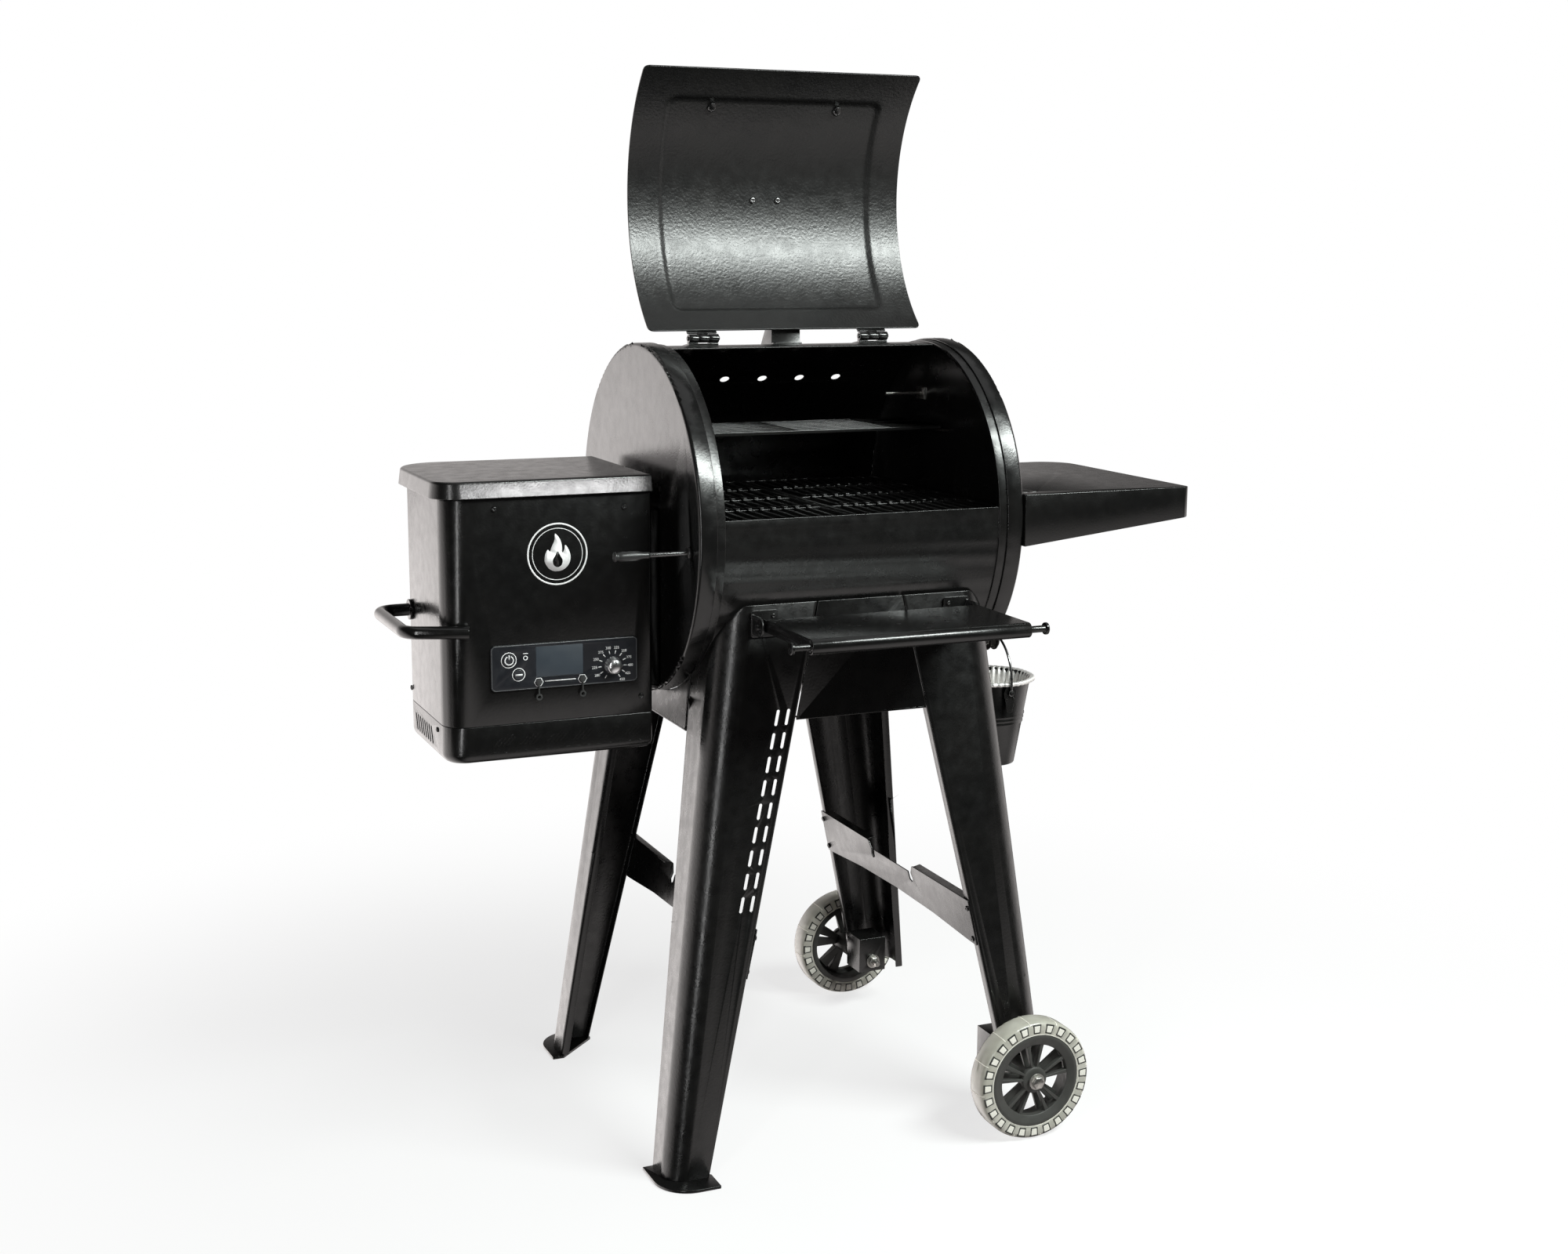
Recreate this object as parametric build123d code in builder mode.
"""Pellet smoker grill on four formed legs, with its hood open. Millimetres, +Z up, -Y to the cook's side.

Every place below is measured from the point on the floor under the middle of the barrel. That point stands at
(BARREL_X, BARREL_Y) in the part's frame, whose origin is the middle of the whole grill's footprint.
"""

import os
from math import cos, radians, sin

from build123d import *

os.makedirs("parts", exist_ok=True)

# Barrel: a rolled shell along X between two dished end caps
SHEET = 2
BARREL_Z = 864
SHELL_R = 235
SHELL_HALF = 233
BAND_R = 237.5
BAND_START = 201
CAP_R = 240
CAP_FACE = 238
CAP_DEPTH = 25
CAP_INSIDE_R = BAND_R + 0.1
OPEN_LOW, OPEN_HIGH = 5.7, 82.7
VENT_FIRST, VENT_PITCH, VENT_COUNT, VENT_R, VENT_ANGLE = -167, 60, 6, 7, 131

# Hood: a rolled sheet that turns on two hinges behind the opening
LID_IN_R = 238
LID_T = 2.4
LID_HALF = 210
LID_LOW, LID_HIGH = -3.3, 93
LID_SWING = 136.8
PIN_Y, PIN_Z, PIN_R = 23, 1107.5, 3
RAISE, RAISE_HALF, RAISE_LOW, RAISE_HIGH = 4, 165, 8, 84.5
HINGE_X, HINGE_W, KNUCKLE_R, KNUCKLE_W = 131, 44, 6, 15
HANDLE_POST_X, HANDLE_ANGLE, HANDLE_R, HANDLE_HALF, HANDLE_REACH = 96, 11.7, 11, 125, 288
STOP_HALF = 22

# Legs: faces lean outwards going down, so each plane is (value at the floor, change per mm of height)
LEG_SIDE = (297.2, -0.1303)
LEG_FRONT = (270.2, -0.0627)
LEG_INNER = (237.1, -0.226)
LEG_EDGE = (207.3, -0.1139)
LEG_BEND = (30, 0.016)
LEG_TOP = 772
LEG_FOOT_LEFT, LEG_FOOT_RIGHT = 4, 70
LEG_LIP, LEG_SIDE_LIP = 15, 13
SADDLE_R = 238.4
APRON_LOW, PANEL_LOW = 615, 590
SLOT_ROWS, SLOT_PITCH, SLOT_LOW, SLOT_INSETS = 9, 31, 372, (13, 28)
SLOT_L, SLOT_W, SLOT_LEAN = 22, 4.5, 77.3
BRACE_Z, BRACE_H, BRACE_SHELF = 300, 37, 156
BRACKET_IN, BRACKET_OUT, BRACKET_BACK, BRACKET_FRONT, BRACKET_LOW, BRACKET_TOP = 208, 254, 198, 246, 70, 126

# Wheels, on bolts through the right legs
WHEEL_R, TYRE_T, WHEEL_W = 86.7, 19.7, 38
WHEEL_FACE = 326
AXLE_X, AXLE_R, AXLE_END = 232, 5, 336
HUB_R = WHEEL_R - TYRE_T
SPOKES = 5
NUT_Y, NUT_H, BOLT_HEAD = 189, 8, 7

# Pellet hopper, on the barrel's left end
HOPPER_LEFT, HOPPER_RIGHT, HOPPER_HALF = -543, -260.5, 121
HOPPER_LOW, HOPPER_SEAM, HOPPER_TOP = 567, 617, 915.5
CORNER_FRONT, CORNER_BACK, CORNER_INNER = 31, 60, 4
HOOD_LEFT, HOOD_RIGHT, HOOD_HALF, HOOD_Z, HOOD_H = -554, -258, 127, 916.5, 22.5
HOOD_PIN_Y, HOOD_PIN_Z, HOOD_PIN_R, HOOD_HINGES = 132, 914, 2, (-470, -330)
GRIP_X, GRIP_FRONT, GRIP_BACK, GRIP_Z, GRIP_R = -590, -102.5, 62, 745, 8.5
GRIP_END, GRIP_PAD, GRIP_PAD_OUT = (-513, -132.2), (-523.2, -118.9), (-0.36, -0.933)
NECK_Z, NECK_W, NECK_H = 765, 176, 250
INLET_X, INLET_Z = -400, 650

# Pellet feed: bin, auger, fan and burn pot
BIN_TOP, BIN_LOW, CHUTE_X, CHUTE_L, CHUTE_W = 900, 747, -435, 66, 40
GUARD_X, GUARD_Z, GUARD_SLOTS, GUARD_PITCH = -415, 842, 7, 19
AUGER_Z, AUGER_TUBE_R, AUGER_WALL, AUGER_START, AUGER_END = 715, 26, 1.5, -484, -60
SHAFT_R, FLIGHT_R, FLIGHTS, FLIGHT_PITCH = 6, 22, 14, 29
FAN_X, FAN_LOW, FAN_H, FAN_R = -360, 640, 42, 50
DUCT_Z, DUCT_W, DUCT_H = 663, 60, 36
POT_R, POT_LOW, POT_H, POT_GRID = 50, 652, 96, 668

# Control panel
PANEL_X, PANEL_Z, PANEL_W, PANEL_H, PANEL_T = -383.5, 692.5, 201, 61, 3
DISPLAY_X, DISPLAY_Z, DISPLAY_W, DISPLAY_H = -391, 698, 65, 41
POWER_X, POWER_Z, POWER_R = -460, 703, 8.5
PRIME_X, PRIME_Z, PRIME_R = -447, 683, 7
DIAL_X, DIAL_Z, DIAL_R = -318, 686, 12
PORTS = ((-420, 671), (-360, 671))

# Cooking chamber
DEFLECTOR_Z, DEFLECTOR_L, DEFLECTOR_W = 775, 452, 400
FLUTE_PITCH, FLUTE_ROW, FLUTE_L, FLUTE_W = 22, 96, 70, 9
SLIDE_X, SLIDE_L, SLIDE_W, SLIDE_ARM_X, SLIDE_Z = -30, 200, 196, -120, 777.4
GRATE_LOW, GRATE_H, GRATE_NEAR, GRATE_MID, GRATE_W = 872, 10, 212, 115, 227
GRATE_PITCH, GRATE_BARS, GRATE_ROW = 17.6, 11, 104
RACK_Z, RACK_NEAR, RACK_FAR, RACK_W, RACK_PITCH, RACK_BARS = 976, -12, 141, 462, 14.4, 10
PROBE_Y, PROBE_Z = 70, 1020

# Shelves
SHELF_END, SHELF_NEAR, SHELF_FAR, SHELF_Z, SHELF_ROOT_LOW, SHELF_TIP_LOW = 506, -243, 120, 903, 831, 861
SCREW_HEAD = 2
TRAY_HALF, TRAY_Y, TRAY_Z, ROLL_R = 155, -402, 750, 10
TRAY_BACK, TRAY_PIN_Y, TRAY_PIN_Z = -264, -250, 748
BRACKET_X, BRACKET_FACE = 142, -224.8

# Flame broiler slide and grease bucket
ROD_Y, ROD_Z, ROD_R, ROD_START, ROD_GRIP = -205, 844, 3, -298, -343
SPOUT_Y, SPOUT_Z, SPOUT_R, SPOUT_START = -40, 660, 12, 205
BUCKET_X, BUCKET_R, BUCKET_FOOT_R, BUCKET_TOP, BUCKET_LOW = 301, 64, 40, 606, 476
EAR_Z, BAIL_R, BAIL_SPAN, EYE_T = 592, 1.75, 68.5, 2.6

# The footprint runs from the hopper's handle to the side shelf, and from the tray to the rear axle bolt
BARREL_X = (GRIP_R - GRIP_X - SHELF_END - SCREW_HEAD) / 2
BARREL_Y = (ROLL_R - TRAY_Y - AXLE_END) / 2


def at(x, y, z):
    """A point measured from the floor under the middle of the barrel."""
    return (BARREL_X + x, BARREL_Y + y, z)


def across(x):
    """Plane square to the barrel, local (y, z), facing right."""
    return Plane(origin=at(x, 0, 0), x_dir=(0, 1, 0), z_dir=(1, 0, 0))


def facing(y):
    """Upright plane along the barrel, local (x, z), facing the cook."""
    return Plane(origin=at(0, y, 0), x_dir=(1, 0, 0), z_dir=(0, -1, 0))


def level(z):
    """Flat plane, local (x, y), facing up."""
    return Plane(origin=at(0, 0, z), x_dir=(1, 0, 0), z_dir=(0, 0, 1))


def around(radius, angle):
    """Local (y, z) of a point round the barrel, its angle counted up from the cook's side."""
    return (-radius * cos(radians(angle)), BARREL_Z + radius * sin(radians(angle)))


def swung(y, z):
    """Turns a shut hood's direction (y, z) to where it points with the hood open."""
    c, s = cos(radians(-LID_SWING)), sin(radians(-LID_SWING))
    return (y * c - z * s, y * s + z * c)


def lid_across(x):
    """Plane square to the barrel that has swung open with the hood, local (y, z) as if the hood were shut."""
    y, z = swung(-PIN_Y, -PIN_Z)
    return Plane(origin=at(x, PIN_Y + y, PIN_Z + z), x_dir=(0, *swung(1, 0)), z_dir=(1, 0, 0))


def lid_radial(x, angle, radius):
    """Plane that faces straight out of the open hood's sheet."""
    y, z = swung(-PIN_Y, BARREL_Z - PIN_Z)
    out = swung(-cos(radians(angle)), sin(radians(angle)))
    origin = at(x, PIN_Y + y + radius * out[0], PIN_Z + z + radius * out[1])
    return Plane(origin=origin, x_dir=(1, 0, 0), z_dir=(0, *out))


def ring_sector(inner, outer, low, high):
    """Flat ring piece round the barrel between two angles, local (y, z)."""
    with BuildSketch() as piece:
        with BuildLine():
            far = CenterArc((0, BARREL_Z), outer, 180 - high, high - low)
            near = CenterArc((0, BARREL_Z), inner, 180 - high, high - low)
            Line(far @ 0, near @ 0)
            Line(far @ 1, near @ 1)
        make_face()
    return piece.sketch


def plane_at(face, z):
    """Where a leaning leg face stands at a height."""
    return face[0] + face[1] * z


def leg_section(z, side, end):
    """Section of a leg's sheet at a height; side -1 left or 1 right, end -1 front or 1 rear."""
    out, front = plane_at(LEG_SIDE, z), plane_at(LEG_FRONT, z)
    inner, edge, bend = plane_at(LEG_INNER, z), plane_at(LEG_EDGE, z), plane_at(LEG_BEND, z)
    skin = [(out - LEG_SIDE_LIP, edge), (out, edge), (out, front), (inner, front), (inner, front - LEG_LIP)]
    lining = [
        (out - LEG_SIDE_LIP, edge + SHEET),
        (out - SHEET, edge + SHEET),
        (out - SHEET, front - SHEET),
        (inner + SHEET, front - SHEET),
        (inner + SHEET, front - LEG_LIP),
    ]
    with BuildSketch(level(z)) as section:
        with BuildLine():
            a = FilletPolyline(*[(side * x, end * y) for x, y in skin], radius=[4, bend, 4])
            b = FilletPolyline(*[(side * x, end * y) for x, y in lining], radius=[2, bend - SHEET, 2])
            Line(a @ 0, b @ 0)
            Line(a @ 1, b @ 1)
        make_face()
    return section.sketch


def slab(z, x_low, x_high, y_low, y_high):
    """Flat rectangle at a height, for lofting a leaning sheet."""
    with BuildSketch(level(z)) as section:
        with Locations(((x_low + x_high) / 2, (y_low + y_high) / 2)):
            Rectangle(x_high - x_low, y_high - y_low)
    return section.sketch


def hopper_outline(inset):
    """The hopper's plan, with a large rear corner, local (x, y)."""
    left, right, half = HOPPER_LEFT + inset, HOPPER_RIGHT - inset, HOPPER_HALF - inset
    corners = [(left, -half), (right, -half), (right, half), (left, half)]
    radii = [CORNER_FRONT - inset, CORNER_INNER - inset, CORNER_INNER - inset, CORNER_BACK - inset]
    with BuildSketch() as plan:
        with BuildLine():
            FilletPolyline(*corners, radius=radii, close=True)
        make_face()
    return plan.sketch


# ---------------------------------------------------------------- barrel

with BuildPart() as barrel_shell:
    with BuildSketch(across(0)):
        add(ring_sector(SHELL_R - SHEET, SHELL_R, 0, 180))
        add(ring_sector(SHELL_R - SHEET, SHELL_R, 180, 360))
    extrude(amount=SHELL_HALF, both=True)
    for side in (-1, 1):
        with BuildSketch(across(side * BAND_START)):
            with Locations((0, BARREL_Z)):
                Circle(BAND_R)
                Circle(SHELL_R - SHEET, mode=Mode.SUBTRACT)
        extrude(amount=side * (SHELL_HALF - BAND_START))
    with BuildSketch(across(0)):
        add(ring_sector(SHELL_R - 20, SHELL_R + 20, OPEN_LOW, OPEN_HIGH))
    extrude(amount=BAND_START, both=True, mode=Mode.SUBTRACT)
    for i in range(VENT_COUNT):
        y, z = around(SHELL_R, VENT_ANGLE)
        outward = (0, y, z - BARREL_Z)
        with BuildSketch(Plane(origin=at(VENT_FIRST + i * VENT_PITCH, y, z), x_dir=(1, 0, 0), z_dir=outward)):
            Circle(VENT_R)
        extrude(amount=8, both=True, mode=Mode.SUBTRACT)
barrel_shell.part.label = "barrel_shell"
export_step(barrel_shell.part, "parts/barrel_shell.step")


def cap_profile(side):
    """Half section of an end cap, local (x, z): a flat face with a turned flange."""
    with BuildSketch(facing(0)) as profile:
        with BuildLine():
            rim = side * (CAP_FACE - CAP_DEPTH)
            face, top = side * CAP_FACE, BARREL_Z + CAP_R
            a = FilletPolyline((face, BARREL_Z), (face, top), (rim, top), radius=5)
            back, under = side * (CAP_FACE - SHEET), BARREL_Z + CAP_INSIDE_R
            b = FilletPolyline((back, BARREL_Z), (back, under), (rim, under), radius=2.8)
            Line(a @ 0, b @ 0)
            Line(a @ 1, b @ 1)
        make_face()
    return profile.sketch


with BuildPart() as left_end_cap:
    add(cap_profile(-1))
    revolve(axis=Axis(at(0, 0, BARREL_Z), (1, 0, 0)))
    with BuildSketch(across(-CAP_FACE - 5)):
        with Locations((0, AUGER_Z)):
            Circle(AUGER_TUBE_R + 0.4)
        with Locations((0, DUCT_Z)):
            Rectangle(DUCT_W + 1, DUCT_H + 1)
        with Locations((ROD_Y, ROD_Z)):
            Circle(ROD_R + 0.4)
    extrude(amount=12, mode=Mode.SUBTRACT)
left_end_cap.part.label = "left_end_cap"
export_step(left_end_cap.part, "parts/left_end_cap.step")

with BuildPart() as right_end_cap:
    add(cap_profile(1))
    revolve(axis=Axis(at(0, 0, BARREL_Z), (1, 0, 0)))
    with BuildSketch(across(CAP_FACE - 5)):
        with Locations((SPOUT_Y, SPOUT_Z)):
            Circle(SPOUT_R + 0.2)
    extrude(amount=12, mode=Mode.SUBTRACT)
right_end_cap.part.label = "right_end_cap"
export_step(right_end_cap.part, "parts/right_end_cap.step")

# ---------------------------------------------------------------- hood

with BuildPart() as lid:
    with BuildSketch(lid_across(0)):
        add(ring_sector(LID_IN_R, LID_IN_R + LID_T, LID_LOW, LID_HIGH))
    extrude(amount=LID_HALF, both=True)
    corners = [e for e in lid.edges() if abs(e.length - LID_T) < 0.01]
    fillet(corners, radius=8)
    with BuildSketch(lid_across(0)):
        add(ring_sector(LID_IN_R, LID_IN_R + LID_T + RAISE, RAISE_LOW, RAISE_HIGH))
    extrude(amount=RAISE_HALF, both=True)
    with BuildSketch(lid_across(0)):
        add(ring_sector(LID_IN_R - 5, LID_IN_R + RAISE, RAISE_LOW + 0.6, RAISE_HIGH - 0.6))
    extrude(amount=RAISE_HALF - LID_T, both=True, mode=Mode.SUBTRACT)
    for x in (-HANDLE_POST_X, HANDLE_POST_X):
        with BuildSketch(lid_radial(x, HANDLE_ANGLE, LID_IN_R - 10)):
            Circle(3.2)
        extrude(amount=30, mode=Mode.SUBTRACT)
lid.part.label = "lid"
export_step(lid.part, "parts/lid.step")

LID_SKIN_R = LID_IN_R + LID_T + RAISE
with BuildPart() as lid_handle:
    with BuildSketch(lid_across(-HANDLE_HALF)):
        with Locations(around(HANDLE_REACH, HANDLE_ANGLE)):
            Circle(HANDLE_R)
    extrude(amount=2 * HANDLE_HALF)
    fillet(lid_handle.edges().filter_by(GeomType.CIRCLE), radius=3)
    for x in (-HANDLE_POST_X, HANDLE_POST_X):
        with BuildSketch(lid_radial(x, HANDLE_ANGLE, LID_SKIN_R + 0.1)):
            Circle(8)
        extrude(amount=HANDLE_REACH - LID_SKIN_R)
        with BuildSketch(lid_radial(x, HANDLE_ANGLE, LID_IN_R - 1)):
            Circle(3)
        extrude(amount=RAISE + LID_T + 4)
        with BuildSketch(lid_radial(x, HANDLE_ANGLE, LID_IN_R - 1)):
            RegularPolygon(5.5, 6)
        extrude(amount=4.5)
lid_handle.part.label = "lid_handle"
export_step(lid_handle.part, "parts/lid_handle.step")

with BuildPart() as lid_hinge_leaves:
    plate_low = LID_IN_R + LID_T + BARREL_Z + 0.2
    for x in (-HINGE_X, HINGE_X):
        with BuildSketch(lid_across(x)):
            with Locations((PIN_Y, PIN_Z)):
                Circle(KNUCKLE_R)
            with Locations(((PIN_Y + 5) / 2, plate_low + 1.25)):
                Rectangle(PIN_Y - 5, 2.5)
            with Locations((PIN_Y, PIN_Z)):
                Circle(PIN_R + 0.06, mode=Mode.SUBTRACT)
        extrude(amount=KNUCKLE_W / 2, both=True)
        with BuildSketch(lid_across(x)):
            with Locations((-2.5, plate_low + 1.25)):
                Rectangle(35, 2.5)
        extrude(amount=HINGE_W / 2, both=True)
lid_hinge_leaves.part.label = "lid_hinge_leaves"
export_step(lid_hinge_leaves.part, "parts/lid_hinge_leaves.step")

with BuildPart() as barrel_hinge_leaves:
    knuckle = (HINGE_W - KNUCKLE_W) / 2 - 0.5
    for x in (-HINGE_X, HINGE_X):
        with BuildSketch(across(x)):
            add(ring_sector(SHELL_R + 0.1, SHELL_R + 2.6, 95, 108))
        extrude(amount=HINGE_W / 2, both=True)
        for end in (-1, 1):
            with BuildSketch(across(x + end * HINGE_W / 2)):
                with Locations((PIN_Y, PIN_Z)):
                    Circle(KNUCKLE_R)
                with Locations((PIN_Y + 2, PIN_Z - 4)):
                    Rectangle(7, 10)
            extrude(amount=-end * knuckle)
        with BuildSketch(across(x)):
            with Locations((PIN_Y, PIN_Z)):
                Circle(PIN_R)
        extrude(amount=HINGE_W / 2 + 2, both=True)
    with Locations(at(0, 0, BARREL_Z)):
        Cylinder(SHELL_R + 0.1, 400, rotation=(0, 90, 0), mode=Mode.SUBTRACT)
barrel_hinge_leaves.part.label = "barrel_hinge_leaves"
export_step(barrel_hinge_leaves.part, "parts/barrel_hinge_leaves.step")

with BuildPart() as lid_stop:
    with BuildSketch(across(0)):
        add(ring_sector(SHELL_R + 0.1, SHELL_R + 2.6, 97, 113))
    extrude(amount=STOP_HALF, both=True)
    with BuildSketch(across(0)):
        with BuildLine():
            outer = [(36, 1095), (36, 1123.2), (48.5, 1135.2)]
            inner = [(50.2, 1133.4), (38.5, 1122.2), (38.5, 1095)]
            Polyline(*outer, *inner, close=True)
        make_face()
    extrude(amount=STOP_HALF, both=True)
    for side in (-1, 1):
        with BuildSketch(across(side * STOP_HALF)):
            with BuildLine():
                Polyline((37, 1085), (37, 1122), (49, 1133.8), (86, 1080), close=True)
            make_face()
        extrude(amount=-side * SHEET)
    with Locations(at(0, 0, BARREL_Z)):
        Cylinder(SHELL_R + 0.1, 100, rotation=(0, 90, 0), mode=Mode.SUBTRACT)
lid_stop.part.label = "lid_stop"
export_step(lid_stop.part, "parts/lid_stop.step")

# ---------------------------------------------------------------- stand

LEGS = (
    ("front_left_leg", -1, -1, LEG_FOOT_LEFT),
    ("rear_left_leg", -1, 1, LEG_FOOT_LEFT),
    ("front_right_leg", 1, -1, LEG_FOOT_RIGHT),
    ("rear_right_leg", 1, 1, LEG_FOOT_RIGHT),
)
for name, side, end, foot in LEGS:
    with BuildPart() as leg:
        loft([leg_section(foot, side, end), leg_section(LEG_TOP, side, end)], ruled=True)
        with Locations(at(0, 0, BARREL_Z)):
            Cylinder(SADDLE_R, 600, rotation=(0, 90, 0), mode=Mode.SUBTRACT)
        if side > 0:
            with BuildSketch(facing(end * 280)):
                with Locations((AXLE_X, WHEEL_R)):
                    Circle(AXLE_R + 0.1)
            extrude(amount=end * 40, mode=Mode.SUBTRACT)
        if name == "front_left_leg":
            with BuildSketch(facing(-200)):
                for row in range(SLOT_ROWS):
                    z = SLOT_LOW + row * SLOT_PITCH
                    for inset in SLOT_INSETS:
                        with Locations((-plane_at(LEG_INNER, z) - inset, z)):
                            SlotOverall(SLOT_L, SLOT_W, rotation=SLOT_LEAN)
            extrude(amount=90, mode=Mode.SUBTRACT)
    leg.part.label = name
    export_step(leg.part, f"parts/{name}.step")

with BuildPart() as aprons:
    for end in (-1, 1):
        sheets = []
        for z in (APRON_LOW, LEG_TOP):
            half, face = plane_at(LEG_INNER, z) - 0.6, plane_at(LEG_FRONT, z)
            low, high = sorted((end * face, end * (face - SHEET)))
            sheets.append(slab(z, -half, half, low, high))
        loft(sheets, ruled=True)
        face = plane_at(LEG_FRONT, APRON_LOW)
        with BuildSketch(level(APRON_LOW)):
            with Locations((0, end * (face - 8))):
                Rectangle(2 * plane_at(LEG_INNER, APRON_LOW) - 10, 16)
        extrude(amount=SHEET)
    with Locations(at(0, 0, BARREL_Z)):
        Cylinder(SADDLE_R, 600, rotation=(0, 90, 0), mode=Mode.SUBTRACT)
aprons.part.label = "aprons"
export_step(aprons.part, "parts/aprons.step")

with BuildPart() as side_panels:
    for side in (-1, 1):
        sheets = []
        for z in (PANEL_LOW, 690):
            face, half = plane_at(LEG_SIDE, z), plane_at(LEG_EDGE, z) - 0.6
            low, high = sorted((side * face, side * (face - SHEET)))
            sheets.append(slab(z, low, high, -half, half))
        loft(sheets, ruled=True)
        with BuildSketch(level(PANEL_LOW)):
            with Locations((side * (plane_at(LEG_SIDE, PANEL_LOW) - 8), 0)):
                Rectangle(16, 2 * plane_at(LEG_EDGE, PANEL_LOW) - 10)
        extrude(amount=SHEET)
    with Locations(at(0, 0, BARREL_Z)):
        Cylinder(CAP_R + 0.4, 600, rotation=(0, 90, 0), mode=Mode.SUBTRACT)
side_panels.part.label = "side_panels"
export_step(side_panels.part, "parts/side_panels.step")

with BuildPart() as leg_braces:
    for side in (-1, 1):
        inner = plane_at(LEG_INNER, BRACE_Z) - 0.1
        seat = Plane(origin=at(side * inner, 0, BRACE_Z), x_dir=(0, -side, 0), z_dir=(-side, 0, LEG_INNER[1]))
        with BuildSketch(seat):
            with BuildLine():
                right = [
                    (0, 24), (57, 24), (59, 12), (66, 9), (70, 14), (66, 24), (73, 36), (76, BRACE_H),
                    (248, BRACE_H), (250, -32), (225, -31), (120, -23), (0, -20),
                ]
                left = [(-x, y) for x, y in reversed(right)]
                Polyline(*right, *left[1:-1], close=True)
            make_face()
        extrude(amount=SHEET)
        for end in (-1, 1):
            with BuildSketch(seat):
                with Locations((end * (BRACE_SHELF - 1), BRACE_H - 1)):
                    Rectangle(BRACE_SHELF, SHEET)
            extrude(amount=-11)
leg_braces.part.label = "leg_braces"
export_step(leg_braces.part, "parts/leg_braces.step")

with BuildPart() as leg_feet:
    for end in (-1, 1):
        with BuildSketch(level(0)):
            with BuildLine():
                pad = [(-231, 299), (-309.5, 299), (-309.5, 205), (-292, 205), (-231, 262)]
                FilletPolyline(*[(x, end * y) for x, y in pad], radius=[1.5, 48, 1.5, 1.5, 1.5], close=True)
            make_face()
        extrude(amount=LEG_FOOT_LEFT)
leg_feet.part.label = "leg_feet"
export_step(leg_feet.part, "parts/leg_feet.step")

with BuildPart() as wheel_brackets:
    for end in (-1, 1):
        middle = ((BRACKET_IN + BRACKET_OUT) / 2, end * (BRACKET_BACK + BRACKET_FRONT) / 2)
        wide, deep = BRACKET_OUT - BRACKET_IN, BRACKET_FRONT - BRACKET_BACK
        with BuildSketch(level(BRACKET_LOW)):
            with Locations(middle):
                Rectangle(wide, deep)
                Rectangle(wide - 2 * SHEET, deep - 2 * SHEET, mode=Mode.SUBTRACT)
        extrude(amount=BRACKET_TOP - BRACKET_LOW - SHEET)
        with BuildSketch(level(BRACKET_TOP - SHEET)):
            with Locations(middle):
                Rectangle(wide, deep)
        extrude(amount=SHEET)
        with BuildSketch(facing(end * BRACKET_FRONT)):
            with Locations((AXLE_X, WHEEL_R)):
                Circle(11)
        extrude(amount=-end * (plane_at(LEG_FRONT, WHEEL_R + 12) - SHEET - 0.3 - BRACKET_FRONT))
        with BuildSketch(facing(end * 190)):
            with Locations((AXLE_X, WHEEL_R)):
                Circle(AXLE_R + 0.1)
        extrude(amount=-end * 80, mode=Mode.SUBTRACT)
wheel_brackets.part.label = "wheel_brackets"
export_step(wheel_brackets.part, "parts/wheel_brackets.step")

with BuildPart() as axle_bolts:
    for end in (-1, 1):
        with BuildSketch(facing(end * (NUT_Y - 3))):
            with Locations((AXLE_X, WHEEL_R)):
                Circle(AXLE_R)
        extrude(amount=-end * (AXLE_END - NUT_Y + 3))
        with BuildSketch(facing(end * AXLE_END)):
            with Locations((AXLE_X, WHEEL_R)):
                RegularPolygon(9, 6)
        extrude(amount=end * BOLT_HEAD)
        with BuildSketch(facing(end * NUT_Y)):
            with Locations((AXLE_X, WHEEL_R)):
                RegularPolygon(9, 6)
        extrude(amount=-end * NUT_H)
axle_bolts.part.label = "axle_bolts"
export_step(axle_bolts.part, "parts/axle_bolts.step")

for name, end in (("front", -1), ("rear", 1)):
    outer = end * WHEEL_FACE
    with BuildPart() as hub:
        with BuildSketch(facing(outer)):
            with Locations((AXLE_X, WHEEL_R)):
                Circle(HUB_R)
                Circle(HUB_R - 8, mode=Mode.SUBTRACT)
        extrude(amount=end * WHEEL_W)
        with BuildSketch(facing(end * (WHEEL_FACE - 10))):
            with Locations((AXLE_X, WHEEL_R)):
                Circle(HUB_R - 6)
                for spoke in range(SPOKES):
                    for turn, width in ((spoke * 72 + 18, 7), (spoke * 72 + 54, 22)):
                        bearing = radians(turn)
                        with Locations((38 * cos(bearing), 38 * sin(bearing))):
                            SlotOverall(30, width, rotation=turn, mode=Mode.SUBTRACT)
        extrude(amount=end * 12)
        with BuildSketch(facing(outer)):
            with Locations((AXLE_X, WHEEL_R)):
                Circle(17)
        extrude(amount=end * (WHEEL_FACE - 267))
        with BuildSketch(facing(outer + end)):
            with Locations((AXLE_X, WHEEL_R)):
                Circle(AXLE_R + 0.06)
        extrude(amount=end * 70, mode=Mode.SUBTRACT)
    hub.part.label = f"{name}_wheel"
    export_step(hub.part, f"parts/{name}_wheel.step")
    with BuildPart() as tyre:
        with BuildSketch(facing(outer)):
            with Locations((AXLE_X, WHEEL_R)):
                Circle(WHEEL_R)
                Circle(HUB_R + 0.05, mode=Mode.SUBTRACT)
        extrude(amount=end * WHEEL_W)
        fillet(tyre.edges().filter_by(GeomType.CIRCLE).sort_by(SortBy.RADIUS)[-2:], radius=7)
    tyre.part.label = f"{name}_tyre"
    export_step(tyre.part, f"parts/{name}_tyre.step")

# ---------------------------------------------------------------- hopper

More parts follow.
